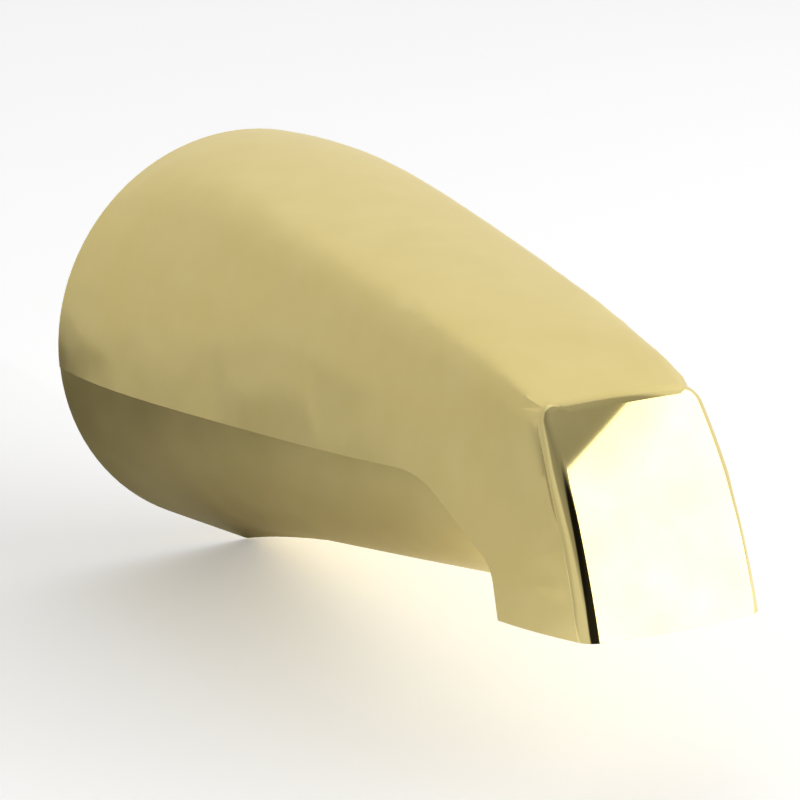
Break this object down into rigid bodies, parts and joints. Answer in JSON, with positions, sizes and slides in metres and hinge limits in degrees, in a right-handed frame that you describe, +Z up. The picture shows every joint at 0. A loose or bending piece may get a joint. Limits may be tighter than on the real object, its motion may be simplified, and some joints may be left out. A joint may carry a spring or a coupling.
{
  "type": "bath spout",
  "caption": "Wall-mounted bath spout, round at the wall and tapering to a squared nose with a bright front facet and a downward outlet; a hollow brass casting with a threaded inlet.",
  "frame": {"origin": "on the inlet pipe's axis in the plane of the wall end", "axes": "+X out from the wall towards the nose, +Y across, +Z up"},
  "size_m": [0.1354, 0.068, 0.0719],
  "materials": {
    "polished_brass": "polished"
  },
  "bodies": {
    "root": {"spout_body": "polished_brass"}
  },
  "joints": []
}
